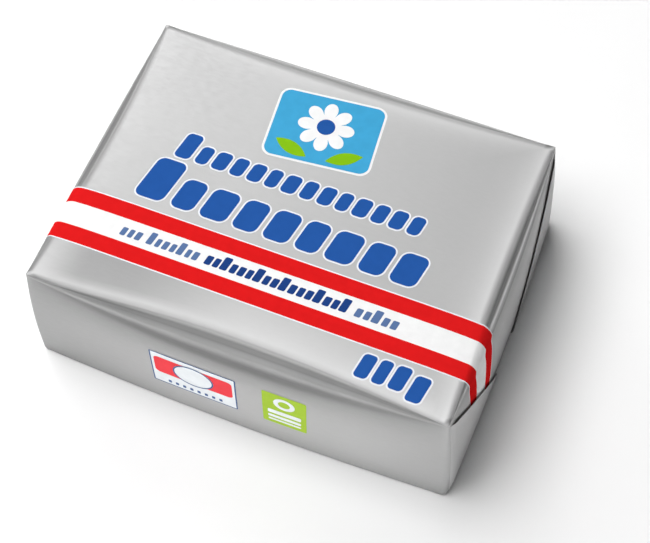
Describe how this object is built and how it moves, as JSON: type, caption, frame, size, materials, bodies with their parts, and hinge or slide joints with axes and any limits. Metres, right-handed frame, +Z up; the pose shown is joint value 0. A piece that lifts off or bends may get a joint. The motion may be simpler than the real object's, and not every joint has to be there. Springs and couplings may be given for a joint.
{
  "type": "wrapped butter block",
  "caption": "Low brick of butter shut in a folded silver foil wrapper, with creased top edges, ears folded over both ends and a red and white band round it.",
  "frame": {"origin": "centre of the flat base that the block lies on", "axes": "+X along the length, towards the right end, +Y across the width, towards the back, +Z up"},
  "size_m": [0.1034, 0.0788, 0.0354],
  "materials": {
    "foil": "matt silver foil laminated to paper, softly creased, printed with fields of red, white, blue and green"
  },
  "bodies": {
    "root": {"wrapped_block": "foil"}
  },
  "joints": []
}
